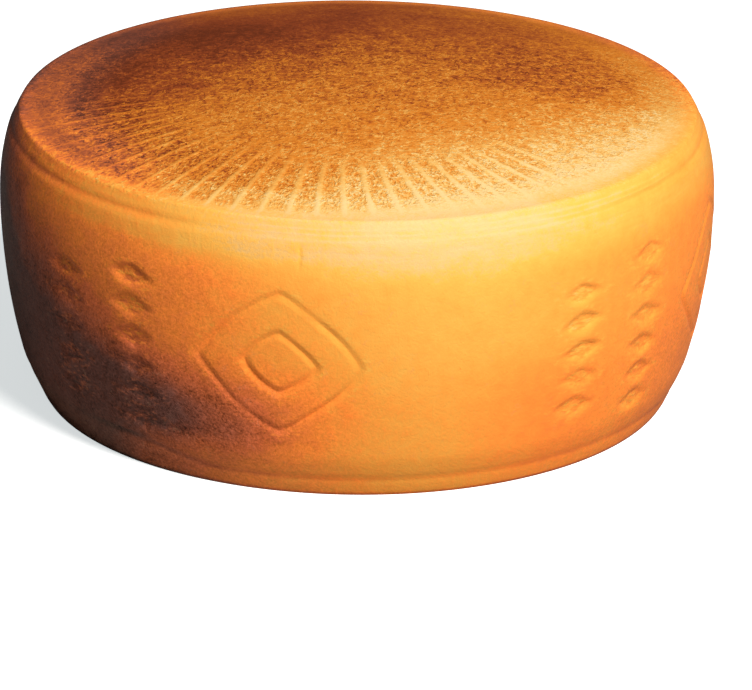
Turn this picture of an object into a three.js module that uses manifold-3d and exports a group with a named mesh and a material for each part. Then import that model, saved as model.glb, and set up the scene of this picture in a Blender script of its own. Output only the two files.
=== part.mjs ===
// A whole wheel of pressed, rubbed-rind cheese, in millimetres, +Z up, standing on its lower face.
// The origin is the middle of the foot, on the surface that the wheel stands on.
// It is one solid: a drum with a bulging side and a domed face, and the marks that its mould has
// pressed into the rind. Those are radial ribs over each face, a crease below the rim and another
// above the foot, and round the side four plain patterns of lozenges.
import * as THREE from "three";
import { mergeVertices } from "three/addons/utils/BufferGeometryUtils.js";
import Module from "manifold-3d";

// Drum
const GIRTH_RADIUS = 175;
const GIRTH_HEIGHT = 101;
const RIM_RADIUS = 165;
const RIM_HEIGHT = 141.3;
const SHOULDER_DROP = 10;
const SHOULDER_ROUNDNESS = 1.6;
const RIM_INSET = 8.2;
const DOME_RISE = 10.7;
const FOOT_RADIUS = 155.2;
const FOOT_RISE = 22.5;
const FOOT_ROUNDNESS = 1.6;
const FOOT_INSET = 16.3;

// Creases round the side, each with its height, depth and half width. The rim's is nearly rubbed
// away round one angle. The foot's climbs towards another, and fades on either side of its climb.
const RIM_CREASE = { height: 133.5, depth: 0.9, width: 2.2 };
const RIM_CREASE_FADE = { way: THREE.MathUtils.degToRad(-80), from: 0.7, full: 0.93, share: 0.85 };
const FOOT_CREASE = { height: 9.5, depth: 0.9, width: 2 };
const FOOT_CREASE_CLIMB = { way: THREE.MathUtils.degToRad(-150), from: 0.8, full: 0.96, rise: 8.5 };
const FOOT_CREASE_FADE = { way: THREE.MathUtils.degToRad(-150), from: 0.955, full: 1, share: 0.85 };
const FOOT_CREASE_LEAST = 0.55;

// Ribs that the press cloth and lid leave on each face
const RIB_COUNT = 72;
const RIB_WIDTH = 2.6;
const WIDE_RIB_WIDTH = 4;
const RIB_HEIGHT = 0.2;
const CELL_DEPTH = 0.3;
const RIB_INNER_RADIUS = 76;
const RIB_TWIST = THREE.MathUtils.degToRad(2.8);
const RIB_PHASE = 0.52;

// Where the ribs meet on a face, the round edge of the ribbed zone, which is a little off centre, and
// the ways from the meeting place in which the ribs are best kept, kept a little, and widest
const TOP_MARK = {
  outward: 1,
  ribX: 0.8,
  ribY: -7.3,
  zoneX: -11,
  zoneY: -13,
  zoneRadius: 143,
  kept: THREE.MathUtils.degToRad(-110),
  keptLittle: THREE.MathUtils.degToRad(5),
  widest: THREE.MathUtils.degToRad(-82),
};
const FOOT_MARK = {
  outward: -1,
  ribX: -3,
  ribY: 5,
  zoneX: -4,
  zoneY: 4,
  zoneRadius: 138,
  kept: THREE.MathUtils.degToRad(40),
  keptLittle: THREE.MathUtils.degToRad(170),
  widest: THREE.MathUtils.degToRad(70),
};

// How those ways spread, as cosines of the angle from each, and how much of a rib is kept a little
const KEPT_SPREAD = [0.2, 0.55];
const KEPT_LITTLE_SPREAD = [0.72, 0.92];
const KEPT_LITTLE_SHARE = 0.45;
const WIDE_SPREAD = [0.55, 1];

// The underside's face is set in, from its edge over a short slope, so the wheel stands on a ring
const FOOT_RECESS = 0.7;
const RECESS_START = 0.5;
const RECESS_END = 6;

// Lozenges round the side. Each pattern has one large lozenge in outline with a smaller one in it,
// and two staggered columns of small sunk ones.
const PATTERN_COUNT = 4;
const LARGE_ANGLE = THREE.MathUtils.degToRad(-102);
const LARGE_HEIGHT = 72;
const LARGE_HALF_WIDTH = 42;
const LARGE_HALF_HEIGHT = 37;
const LINE_ACROSS = 4;
const LINE_UP = 3.8;
const INNER_SHARE = 0.46;
const SMALL_COLUMNS = [
  { angle: THREE.MathUtils.degToRad(-127), top: 104, count: 6 },
  { angle: THREE.MathUtils.degToRad(-142), top: 96.5, count: 5 },
];
const SMALL_STEP = 15;
const SMALL_HALF_WIDTH = 13;
const SMALL_HALF_HEIGHT = 6;
const MARK_DEPTH = 0.8;
const STAMP_PROUD = 4;
const LOZENGE_ROUNDNESS = 1.25;

// Slow unevenness of a hand-turned wheel: of its radius, of its face, over lengths across and along
// it, and of where the marks lie, which dies out at two heights
const RADIUS_WAVER = 0.5;
const FACE_WAVER = 0.4;
const WAVER_ACROSS = 47;
const WAVER_ALONG = 39;
const MARK_DRIFT = 1.1;
const DRIFT_FOOT = 18;
const DRIFT_TOP = 129;

// Numbers of points in the rings of the surface
const SIDE_POINTS = 96;
const INNER_POINTS = 36;
const INNER_DISTANCE = 36;
const MIDDLE_POINTS = 72;
const MIDDLE_DISTANCE = 66;
const SIDE_LEVELS = [139.6, 136.2, 133.5, 130.6, 116, 100, 84, 68, 52, 36, 22.5, 14, 9.5, 5.5, 1.8];

// Heights between which rings of the side climb with the foot's crease: none at the first and the
// last, and fully between the middle two
const CLIMBING_LEVELS = [0, 8, 9.5, 36];
const DOME_STEPS = [0, 0.12, 0.5, 0.93, 1];
const FOOT_STEPS = [0, 0.12, 0.93, 1];
const LARGE_POINTS = 20;
const INNER_LOZENGE_POINTS = 12;
const SMALL_POINTS = 4;

const TAU = 2 * Math.PI;

// Radius of the drum at a height, before its creases: a side that bulges to the girth, drawn in
// round a superellipse at the shoulder and at the foot.
function drumRadius(z) {
  const side = (height) =>
    height < GIRTH_HEIGHT
      ? GIRTH_RADIUS - FOOT_INSET * ((GIRTH_HEIGHT - height) / GIRTH_HEIGHT) ** 2
      : GIRTH_RADIUS - RIM_INSET * ((height - GIRTH_HEIGHT) / (RIM_HEIGHT - GIRTH_HEIGHT)) ** 2;
  const turn = (share, roundness) => (1 - share ** roundness) ** (1 / roundness);
  const shoulder = RIM_HEIGHT - SHOULDER_DROP;
  if (z > shoulder) {
    const share = Math.min(1, (z - shoulder) / SHOULDER_DROP);
    return RIM_RADIUS + (side(shoulder) - RIM_RADIUS) * turn(share, SHOULDER_ROUNDNESS);
  }
  if (z < FOOT_RISE) {
    const share = Math.min(1, (FOOT_RISE - z) / FOOT_RISE);
    return FOOT_RADIUS + (side(FOOT_RISE) - FOOT_RADIUS) * turn(share, FOOT_ROUNDNESS);
  }
  return side(z);
}

// How near an angle is to a way, from 0 beyond the spread to 1 within it.
function nearness(angle, way, from, full) {
  return THREE.MathUtils.smoothstep(Math.cos(angle - way), from, full);
}

// How much of a crease is left at an angle by a fade.
function shareLeft(angle, fade) {
  return 1 - fade.share * nearness(angle, fade.way, fade.from, fade.full);
}

// How far the foot's crease has climbed at an angle, from 0 to 1.
function climbShare(angle) {
  const { way, from, full } = FOOT_CREASE_CLIMB;
  return nearness(angle, way, from, full);
}

// Depth of a crease whose middle lies at some height, at the height z.
function creaseDepth(crease, middle, z) {
  return crease.depth * Math.exp(-(((z - middle) / crease.width) ** 2));
}

// Radius of the finished side at a height and an angle.
function sideRadius(z, angle) {
  const climb = climbShare(angle);
  const footLine = FOOT_CREASE.height + FOOT_CREASE_CLIMB.rise * climb;
  const footKept = THREE.MathUtils.lerp(FOOT_CREASE_LEAST, 1, climb) * shareLeft(angle, FOOT_CREASE_FADE);
  const rim = creaseDepth(RIM_CREASE, RIM_CREASE.height, z) * shareLeft(angle, RIM_CREASE_FADE);
  const foot = creaseDepth(FOOT_CREASE, footLine, z) * footKept;
  const fade = Math.sin((Math.PI * z) / RIM_HEIGHT);
  const waver = 0.6 * Math.sin(2 * angle + 0.7) + 0.4 * Math.sin(5 * angle + 2.1);
  return drumRadius(z) + RADIUS_WAVER * waver * fade - rim - foot;
}

// The height of a ring of the side at an angle: those near the foot's crease climb with it.
function levelHeight(level, angle) {
  const [foot, low, high, top] = CLIMBING_LEVELS;
  const within = THREE.MathUtils.smoothstep(level, foot, low);
  const beyond = THREE.MathUtils.smoothstep(level, high, top);
  return level + FOOT_CREASE_CLIMB.rise * climbShare(angle) * within * (1 - beyond);
}

// Height of the domed face at a point, before its ribs.
function domeHeight(x, y) {
  const share = Math.min(1, Math.hypot(x, y) / RIM_RADIUS);
  const waver = Math.sin(x / WAVER_ACROSS + 1) * Math.cos(y / WAVER_ALONG + 0.4);
  return RIM_HEIGHT + (DOME_RISE + FACE_WAVER * waver) * (1 - share ** 2);
}

// Height of the face under the wheel at a point, before its ribs.
function footHeight(x, y) {
  const inside = FOOT_MARK.zoneRadius - Math.hypot(x - FOOT_MARK.zoneX, y - FOOT_MARK.zoneY);
  return FOOT_RECESS * THREE.MathUtils.smoothstep(inside, RECESS_START, RECESS_END);
}

// Distance from a point, along a direction, to a circle round it.
function reach(fromX, fromY, angle, centreX, centreY, radius) {
  const dx = fromX - centreX;
  const dy = fromY - centreY;
  const along = dx * Math.cos(angle) + dy * Math.sin(angle);
  return -along + Math.sqrt(along ** 2 - dx ** 2 - dy ** 2 + radius ** 2);
}

// A ring of points spread evenly, each placed by a function of its angle.
function evenRing(count, place) {
  const angles = Array.from({ length: count }, (_, i) => (TAU * i) / count);
  return { angles, points: angles.map(place) };
}

// The point of a face at an angle round the ribs' meeting place, and a distance from it.
function facePoint(mark, angle, distance, height) {
  const x = mark.ribX + distance * Math.cos(angle);
  const y = mark.ribY + distance * Math.sin(angle);
  return new THREE.Vector3(x, y, height(x, y));
}

// A ring of a ribbed zone: for each rib its two feet and its crest. Share 0 is the ribs' inner end
// and 1 the zone's edge. The ribs lean a little towards their inner end, die out at both ends, and
// are worn away but for two stretches round the face.
function ribRing(mark, share, height) {
  const angles = [];
  const points = [];
  const risen = share > 0 && share < 1 ? mark.outward : 0;
  for (let rib = 0; rib < RIB_COUNT; rib++) {
    const centre = (TAU * (rib + RIB_PHASE)) / RIB_COUNT;
    const outer = reach(mark.ribX, mark.ribY, centre, mark.zoneX, mark.zoneY, mark.zoneRadius);
    const distance = THREE.MathUtils.lerp(RIB_INNER_RADIUS, outer, share);
    const little = KEPT_LITTLE_SHARE * nearness(centre, mark.keptLittle, ...KEPT_LITTLE_SPREAD);
    const kept = nearness(centre, mark.kept, ...KEPT_SPREAD) + little;
    const wide = nearness(centre, mark.widest, ...WIDE_SPREAD);
    const width = THREE.MathUtils.lerp(RIB_WIDTH, WIDE_RIB_WIDTH, wide);
    for (const side of [-1, 0, 1]) {
      const angle = centre + (side * width) / 2 / distance;
      const relief = side === 0 ? RIB_HEIGHT : -CELL_DEPTH;
      const point = facePoint(mark, angle - RIB_TWIST * (1 - share), distance, height);
      point.z += risen * kept * relief;
      angles.push(angle);
      points.push(point);
    }
  }
  return { angles, points };
}

// All rings of the wheel's surface, from the middle of the domed face to the middle of the foot.
function wheelRings() {
  const rings = [];
  const middle = [
    [INNER_POINTS, INNER_DISTANCE],
    [MIDDLE_POINTS, MIDDLE_DISTANCE],
  ];
  const plainRing = (mark, count, distance, height) =>
    evenRing(count, (angle) => facePoint(mark, angle - RIB_TWIST, distance, height));

  for (const [count, distance] of middle) {
    rings.push(plainRing(TOP_MARK, count, distance, domeHeight));
  }
  for (const share of DOME_STEPS) {
    rings.push(ribRing(TOP_MARK, share, domeHeight));
  }
  const rimAngle = (angle) => {
    const { ribX, ribY } = TOP_MARK;
    const distance = reach(ribX, ribY, angle, 0, 0, RIM_RADIUS);
    return Math.atan2(ribY + distance * Math.sin(angle), ribX + distance * Math.cos(angle));
  };
  rings.push(
    evenRing(SIDE_POINTS, (angle) => {
      const polar = rimAngle(angle);
      const radius = sideRadius(RIM_HEIGHT, polar);
      return new THREE.Vector3(radius * Math.cos(polar), radius * Math.sin(polar), RIM_HEIGHT);
    }),
  );
  for (const level of [...SIDE_LEVELS, 0]) {
    rings.push(
      evenRing(SIDE_POINTS, (angle) => {
        const polar = rimAngle(angle);
        const height = levelHeight(level, polar);
        const radius = sideRadius(height, polar);
        return new THREE.Vector3(radius * Math.cos(polar), radius * Math.sin(polar), height);
      }),
    );
  }
  for (const share of [...FOOT_STEPS].reverse()) {
    rings.push(ribRing(FOOT_MARK, share, footHeight));
  }
  for (const [count, distance] of [...middle].reverse()) {
    rings.push(plainRing(FOOT_MARK, count, distance, footHeight));
  }
  return {
    rings,
    first: facePoint(TOP_MARK, 0, 0, domeHeight),
    last: facePoint(FOOT_MARK, 0, 0, footHeight),
  };
}

// Triangles between two rings that may have different numbers of points: each step takes the
// ring whose next point comes first. Ring a lies nearer to the start of the surface than b.
function stitch(a, b, startA, startB, triangles) {
  const countA = a.angles.length;
  const countB = b.angles.length;
  const angleAt = (ring, i) =>
    ring.angles[i % ring.angles.length] + (i >= ring.angles.length ? TAU : 0);
  let i = 0;
  let j = 0;
  while (i < countA || j < countB) {
    const stepA = i < countA && (j === countB || angleAt(a, i + 1) < angleAt(b, j + 1));
    const here = startA + (i % countA);
    const there = startB + (j % countB);
    if (stepA) {
      triangles.push(here, there, startA + ((i + 1) % countA));
      i += 1;
    } else {
      triangles.push(here, there, startB + ((j + 1) % countB));
      j += 1;
    }
  }
}

// The drum's closed surface, before the lozenges are pressed in.
function drumGeometry() {
  const { rings, first, last } = wheelRings();
  const positions = [first.x, first.y, first.z];
  const triangles = [];
  const starts = [];
  for (const ring of rings) {
    starts.push(positions.length / 3);
    for (const point of ring.points) {
      positions.push(point.x, point.y, point.z);
    }
  }
  const end = positions.length / 3;
  positions.push(last.x, last.y, last.z);

  const inner = rings[0].points.length;
  for (let i = 0; i < inner; i++) {
    triangles.push(0, starts[0] + i, starts[0] + ((i + 1) % inner));
  }
  for (let k = 0; k + 1 < rings.length; k++) {
    stitch(rings[k], rings[k + 1], starts[k], starts[k + 1], triangles);
  }
  const outer = rings.length - 1;
  const outerCount = rings[outer].points.length;
  for (let i = 0; i < outerCount; i++) {
    triangles.push(end, starts[outer] + ((i + 1) % outerCount), starts[outer] + i);
  }

  const geometry = new THREE.BufferGeometry();
  geometry.setAttribute("position", new THREE.Float32BufferAttribute(positions, 3));
  geometry.setIndex(triangles);
  return geometry;
}

// The outline of a lozenge with soft corners.
function lozengeOutline(halfWidth, halfHeight, count) {
  const power = (value) => Math.sign(value) * Math.abs(value) ** (2 / LOZENGE_ROUNDNESS);
  return Array.from({ length: count }, (_, i) => {
    const angle = (TAU * i) / count;
    return new THREE.Vector2(
      halfWidth * power(Math.cos(angle)),
      halfHeight * power(Math.sin(angle)),
    );
  });
}

// How far hand work has shifted the marks round and up the side, from their even pattern.
function markDrift(angle, z) {
  const share = THREE.MathUtils.clamp((z - DRIFT_FOOT) / (DRIFT_TOP - DRIFT_FOOT), 0, 1);
  const drift = MARK_DRIFT * Math.sin(Math.PI * share);
  const across = Math.sin(9 * angle + 0.061 * z) + 0.6 * Math.sin(23 * angle - 0.083 * z + 2);
  const up = Math.sin(11 * angle - 0.047 * z + 1) + 0.6 * Math.sin(19 * angle + 0.09 * z + 4);
  return { turn: (drift * across) / GIRTH_RADIUS, rise: drift * up };
}

// The body that presses one mark: a flat shape bent round the drum, from above the rind to the
// mark's depth below it.
function stamp(shape, centreAngle, centreHeight) {
  const geometry = new THREE.ExtrudeGeometry(shape, {
    depth: STAMP_PROUD + MARK_DEPTH,
    bevelEnabled: false,
    steps: 1,
  });
  const position = geometry.getAttribute("position");
  for (let i = 0; i < position.count; i++) {
    const evenAngle = centreAngle + position.getX(i) / GIRTH_RADIUS;
    const evenHeight = centreHeight + position.getY(i);
    const { turn, rise } = markDrift(evenAngle, evenHeight);
    const angle = evenAngle + turn;
    const z = evenHeight + rise;
    const radius = sideRadius(z, angle) - MARK_DEPTH + position.getZ(i);
    position.setXYZ(i, radius * Math.cos(angle), radius * Math.sin(angle), z);
  }
  return geometry;
}

// A lozenge in outline: one shape within another, with a line's width between them.
function lozengeLine(halfWidth, halfHeight, count) {
  const shape = new THREE.Shape(lozengeOutline(halfWidth, halfHeight, count));
  const inner = lozengeOutline(halfWidth - LINE_ACROSS, halfHeight - LINE_UP, count);
  shape.holes.push(new THREE.Path(inner));
  return shape;
}

function lozengeStamps() {
  const stamps = [];
  const large = lozengeLine(LARGE_HALF_WIDTH, LARGE_HALF_HEIGHT, LARGE_POINTS);
  const within = lozengeLine(
    LARGE_HALF_WIDTH * INNER_SHARE,
    LARGE_HALF_HEIGHT * INNER_SHARE,
    INNER_LOZENGE_POINTS,
  );
  const small = new THREE.Shape(
    lozengeOutline(SMALL_HALF_WIDTH, SMALL_HALF_HEIGHT, SMALL_POINTS),
  );
  for (let pattern = 0; pattern < PATTERN_COUNT; pattern++) {
    const turn = (TAU * pattern) / PATTERN_COUNT;
    stamps.push(stamp(large, turn + LARGE_ANGLE, LARGE_HEIGHT));
    stamps.push(stamp(within, turn + LARGE_ANGLE, LARGE_HEIGHT));
    for (const column of SMALL_COLUMNS) {
      for (let row = 0; row < column.count; row++) {
        stamps.push(stamp(small, turn + column.angle, column.top - row * SMALL_STEP));
      }
    }
  }
  return stamps;
}

const wasm = await Module();
wasm.setup();

function toSolid(geometry) {
  const bare = geometry.clone();
  bare.deleteAttribute("normal");
  bare.deleteAttribute("uv");
  const merged = mergeVertices(bare, 1e-3);
  return new wasm.Manifold(
    new wasm.Mesh({
      numProp: 3,
      vertProperties: merged.getAttribute("position").array,
      triVerts: new Uint32Array(merged.getIndex().array),
    }),
  );
}

function toGeometry(solid) {
  const mesh = solid.getMesh();
  const geometry = new THREE.BufferGeometry();
  geometry.setAttribute("position", new THREE.BufferAttribute(mesh.vertProperties, 3));
  geometry.setIndex(new THREE.BufferAttribute(mesh.triVerts, 1));
  geometry.computeVertexNormals();
  return geometry;
}

const rind = new THREE.MeshStandardMaterial({
  color: 0xc8751f,
  roughness: 0.55,
  metalness: 0,
});

let wheel = toSolid(drumGeometry());
for (const mark of lozengeStamps()) {
  wheel = wheel.subtract(toSolid(mark));
}

const cheeseWheel = new THREE.Mesh(toGeometry(wheel), rind);
cheeseWheel.name = "cheese_wheel";

const part = new THREE.Group();
part.add(cheeseWheel);

export default part;
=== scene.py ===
import math

import bmesh
import bpy
import numpy as np
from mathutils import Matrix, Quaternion, Vector
from mathutils.geometry import delaunay_2d_cdt


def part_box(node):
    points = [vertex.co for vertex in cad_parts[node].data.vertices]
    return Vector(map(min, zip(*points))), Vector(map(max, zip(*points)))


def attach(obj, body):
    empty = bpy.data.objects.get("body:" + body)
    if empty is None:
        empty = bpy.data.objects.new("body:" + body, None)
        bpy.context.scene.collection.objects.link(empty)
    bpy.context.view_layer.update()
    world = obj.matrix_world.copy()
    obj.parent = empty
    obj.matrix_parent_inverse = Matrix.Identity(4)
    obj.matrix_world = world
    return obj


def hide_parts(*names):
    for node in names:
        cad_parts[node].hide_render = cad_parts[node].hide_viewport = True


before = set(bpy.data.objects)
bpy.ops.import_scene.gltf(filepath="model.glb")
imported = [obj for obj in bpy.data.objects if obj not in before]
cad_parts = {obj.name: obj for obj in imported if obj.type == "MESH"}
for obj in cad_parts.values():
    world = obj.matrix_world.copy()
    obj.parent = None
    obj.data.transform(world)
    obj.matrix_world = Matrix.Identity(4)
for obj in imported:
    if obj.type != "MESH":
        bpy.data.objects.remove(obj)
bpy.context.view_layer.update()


# ---- Camera ---------------------------------------------------------------------------------
# A long lens looks down on the wheel at some twenty-one degrees, so that the far rim is hardly
# smaller than the near one. The camera leans two thirds of a degree.
CAMERA_PLACE = Vector((0.0, -2.73471, 1.08697))
CAMERA_AIM = Vector((0.01024, 0.0, 0.01547))
CAMERA_LEAN = math.radians(0.67)
LENS = 283.1

camera = bpy.data.objects.new("camera", bpy.data.cameras.new("camera"))
camera.data.lens = LENS
camera.data.clip_start = 0.1
camera.data.clip_end = 50
camera.location = CAMERA_PLACE
camera.rotation_mode = "QUATERNION"
sight = (CAMERA_AIM - CAMERA_PLACE).to_track_quat("-Z", "Y")
camera.rotation_quaternion = sight @ Quaternion((0, 0, 1), CAMERA_LEAN)
bpy.context.collection.objects.link(camera)
bpy.context.scene.camera = camera


# ---- The cheese wheel -----------------------------------------------------------------------
# A whole pressed cheese in its own rind, one piece. The plain drum is turned from its profile as
# rings of points; then the press marks are sunk into it: ribs and rough cells on both faces,
# creases round the side, and four plain patterns of lozenges.

# The drum, in metres. Its width and its height come from the solid in the frame.
drum_low, drum_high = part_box("cheese_wheel")
GIRTH_RADIUS = (drum_high.x - drum_low.x) / 2
RIM_HEIGHT = 0.1413
GIRTH_HEIGHT = 0.101
RIM_RADIUS = GIRTH_RADIUS - 0.010
RIM_INSET = 0.0082
SHOULDER_DROP = 0.010
SHOULDER_ROUNDNESS = 1.6
DOME_RISE = drum_high.z - RIM_HEIGHT
FOOT_RADIUS = GIRTH_RADIUS - 0.0198
FOOT_RISE = 0.0225
FOOT_ROUNDNESS = 1.6
FOOT_INSET = 0.0163
FOOT_RECESS = 0.0007
RECESS_START = 0.0005
RECESS_END = 0.006
RADIUS_WAVER = 0.0005
FACE_WAVER = 0.0004
WAVER_ACROSS = 0.047
WAVER_ALONG = 0.039

# Ribs: how many, where they meet, and the round edge of the zone that they cross
RIB_COUNT = 72
RIB_WIDTH = 0.0034
RIB_INNER = 0.076
RIB_TWIST = math.radians(2.8)
RIB_PHASE = 0.52
TOP_FACE = {"meet": (0.0008, -0.0073), "zone": (-0.011, -0.013), "radius": 0.143}
FOOT_FACE = {"meet": (-0.003, 0.005), "zone": (-0.004, 0.004), "radius": 0.138}

# Lozenges: one large one in outline with a smaller one in it, and two columns of sunk ones
PATTERN_COUNT = 4
PATTERN_TURN = 2 * math.pi / PATTERN_COUNT
LARGE_ANGLE = math.radians(-102)
LARGE_HEIGHT = 0.072
LARGE_HALF = (0.042, 0.037)
LARGE_LINE = 0.0034
INNER_SHARE = 0.46
SMALL_COLUMNS = [(math.radians(-127), 0.104, 6), (math.radians(-142), 0.0965, 5)]
SMALL_STEP = 0.015
SMALL_HALF = (0.013, 0.006)
LOZENGE_ROUNDNESS = 1.25
MARK_DRIFT = 0.0011
DRIFT_ROUNDS = 4
LINE_SOFTNESS = 0.0013
FIELD_SOFTNESS = 0.0021
LIP_WIDTH = 0.0024
LIP_SHARE = 0.22

# Rings of points, and the bands of rings in the plain middle of each face: how many points round,
# from which distance to which, and how many rings
POINTS_PER_RIB = 10
ROUND_POINTS = RIB_COUNT * POINTS_PER_RIB
FOOT_POINTS_PER_RIB = 5
FOOT_POINTS = RIB_COUNT * FOOT_POINTS_PER_RIB
ZONE_RINGS = 40
FOOT_ZONE_RINGS = 16
EDGE_RINGS = 9
FOOT_EDGE_SHARES = (0.3, 0.6)
MIDDLE_BANDS = [(360, RIB_INNER, 0.032, 23), (180, 0.030, 0.008, 11), (60, 0.006, 0.002, 3)]
FOOT_MIDDLE_BANDS = [(180, 0.072, 0.030, 9), (60, 0.025, 0.005, 4)]
SHOULDER_STEP = 0.0013
FOOT_STEP = 0.0023
PROFILE_STEPS = 500

# The net of the side, the loops of points along the edges of its lozenges, and how far the net
# stays clear of those edges
SIDE_TOP = 0.129
SIDE_FOOT = 0.018
SIDE_ACROSS = 0.0029
SIDE_UP = 0.0025
QUARTER_START = math.radians(15)
LOOP_SPACING = 0.0014
LOOP_MARGIN = 0.0012
LOOP_STEPS = 1440
CLEAR_OUTSIDE = 0.0034
LINE_CLEARANCE = 0.0022
FIELD_CLEARANCE = 0.0018
MERGE_DISTANCE = 0.00002

TAU = 2 * math.pi


def smooth(value, low, high):
    share = np.clip((value - low) / (high - low), 0, 1)
    return share * share * (3 - 2 * share)


def drum_radius(height):
    below = GIRTH_RADIUS - FOOT_INSET * ((GIRTH_HEIGHT - height) / GIRTH_HEIGHT) ** 2
    above = GIRTH_RADIUS - RIM_INSET * ((height - GIRTH_HEIGHT) / (RIM_HEIGHT - GIRTH_HEIGHT)) ** 2
    side = np.where(height < GIRTH_HEIGHT, below, above)

    def turned_in(share, roundness, edge):
        share = np.clip(share, 0, 1)
        return edge + (side - edge) * (1 - share**roundness) ** (1 / roundness)

    shoulder = RIM_HEIGHT - SHOULDER_DROP
    at_shoulder = turned_in((height - shoulder) / SHOULDER_DROP, SHOULDER_ROUNDNESS, RIM_RADIUS)
    at_foot = turned_in((FOOT_RISE - height) / FOOT_RISE, FOOT_ROUNDNESS, FOOT_RADIUS)
    return np.where(height > shoulder, at_shoulder, np.where(height < FOOT_RISE, at_foot, side))


def side_point(angle, height):
    waver = 0.6 * np.sin(2 * angle + 0.7) + 0.4 * np.sin(5 * angle + 2.1)
    radius = drum_radius(height) + RADIUS_WAVER * waver * np.sin(math.pi * height / RIM_HEIGHT)
    return np.stack([radius * np.cos(angle), radius * np.sin(angle), height + 0 * angle], axis=-1)


def dome_height(x, y):
    share = np.minimum(1, np.hypot(x, y) / RIM_RADIUS)
    waver = np.sin(x / WAVER_ACROSS + 1) * np.cos(y / WAVER_ALONG + 0.4)
    return RIM_HEIGHT + (DOME_RISE + FACE_WAVER * waver) * (1 - share**2)


def foot_height(x, y):
    inside = FOOT_FACE["radius"] - np.hypot(x - FOOT_FACE["zone"][0], y - FOOT_FACE["zone"][1])
    return FOOT_RECESS * smooth(inside, RECESS_START, RECESS_END)


# Distance from a point, in the directions of some angles, to a circle round it.
def reach(start, angle, centre, radius):
    dx = start[0] - centre[0]
    dy = start[1] - centre[1]
    along = dx * np.cos(angle) + dy * np.sin(angle)
    return -along + np.sqrt(along**2 - dx**2 - dy**2 + radius**2)


def face_points(face, angle, distance, height):
    x = face["meet"][0] + distance * np.cos(angle)
    y = face["meet"][1] + distance * np.sin(angle)
    return np.stack([x, y, height(x, y)], axis=-1)


# Angles round a face that crowd at each rib: its crest, its flanks, and steps across the cell.
def rib_angles(distance, per_rib):
    pitch = TAU / RIB_COUNT
    foot = RIB_WIDTH / 2 / distance
    flanks = [0.4, 0.9] if per_rib > 6 else [1.0]
    cell_steps = per_rib - 1 - 2 * len(flanks)
    steps = [0 * foot] + [share * foot for share in flanks]
    for step in range(1, cell_steps + 1):
        steps.append(foot + (pitch - 2 * foot) * step / (cell_steps + 1))
    steps += [pitch - share * foot for share in reversed(flanks)]
    return np.stack(steps, axis=-1)


# A ring across the ribbed zone of a face; share runs from the ribs' inner end to the zone's edge.
def zone_ring(face, share, per_rib, height):
    centre = TAU * (np.arange(RIB_COUNT) + RIB_PHASE) / RIB_COUNT
    middle = RIB_INNER + (reach(face["meet"], centre, face["zone"], face["radius"]) - RIB_INNER) * share
    angle = (centre[:, None] + rib_angles(middle, per_rib)).ravel()
    outer = reach(face["meet"], angle, face["zone"], face["radius"])
    distance = RIB_INNER + (outer - RIB_INNER) * share
    turned = angle - RIB_TWIST * (1 - share)
    return turned, face_points(face, turned, distance, height)


# Rings of the plain middle of a face, from the ribs' inner end to the point where they meet.
def middle_rings(face, height, bands):
    rings = []
    for count, outer, inner, steps in bands:
        angle = TAU * (np.arange(count) / count + RIB_PHASE / RIB_COUNT) - RIB_TWIST
        for distance in np.linspace(outer, inner, steps):
            rings.append((angle, face_points(face, angle, distance, height)))
    return rings


# Heights down a stretch of the profile, evenly spaced along its curve.
def profile_heights(top, foot, step):
    fine = np.linspace(top, foot, PROFILE_STEPS)
    lengths = np.hypot(np.diff(fine), np.diff(drum_radius(fine)))
    run = np.concatenate([[0], np.cumsum(lengths)])
    return np.interp(np.linspace(0, run[-1], round(run[-1] / step) + 1), run, fine)


# How far hand work has shifted the marks round and up the side, from their even pattern
def mark_drift(angle, height):
    fade = np.sin(math.pi * np.clip((height - SIDE_FOOT) / (SIDE_TOP - SIDE_FOOT), 0, 1))
    across = np.sin(9 * angle + 61 * height) + 0.6 * np.sin(23 * angle - 83 * height + 2)
    up = np.sin(11 * angle - 47 * height + 1) + 0.6 * np.sin(19 * angle + 90 * height + 4)
    return MARK_DRIFT * across * fade, MARK_DRIFT * up * fade


# The point of the side where a point of the even pattern has come to lie, and the way back
def drifted(angle, height):
    across, up = mark_drift(angle, height)
    return angle + across / GIRTH_RADIUS, height + up


def undrifted(angle, height):
    start = angle, height
    for _ in range(DRIFT_ROUNDS):
        across, up = mark_drift(*start)
        start = angle - across / GIRTH_RADIUS, height - up
    return start


# Distance of a point outside a lozenge with soft corners, less than nothing inside it.
def lozenge_gap(across, up, half):
    level = (abs(across / half[0]) ** LOZENGE_ROUNDNESS + abs(up / half[1]) ** LOZENGE_ROUNDNESS)
    return (level ** (1 / LOZENGE_ROUNDNESS) - 1) * half[0] * half[1] / math.hypot(*half)


def lozenge_loop(half, gap, spacing):
    grown = 1 + gap * math.hypot(*half) / (half[0] * half[1])
    turn = np.linspace(0, TAU, LOOP_STEPS + 1)
    power = 2 / LOZENGE_ROUNDNESS
    x = half[0] * grown * np.sign(np.cos(turn)) * abs(np.cos(turn)) ** power
    y = half[1] * grown * np.sign(np.sin(turn)) * abs(np.sin(turn)) ** power
    run = np.concatenate([[0], np.cumsum(np.hypot(np.diff(x), np.diff(y)))])
    count = max(8, 4 * round(run[-1] / spacing / 4))
    places = np.linspace(0, run[-1], count + 1)[:-1]
    return np.interp(places, run, x), np.interp(places, run, y)


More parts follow.
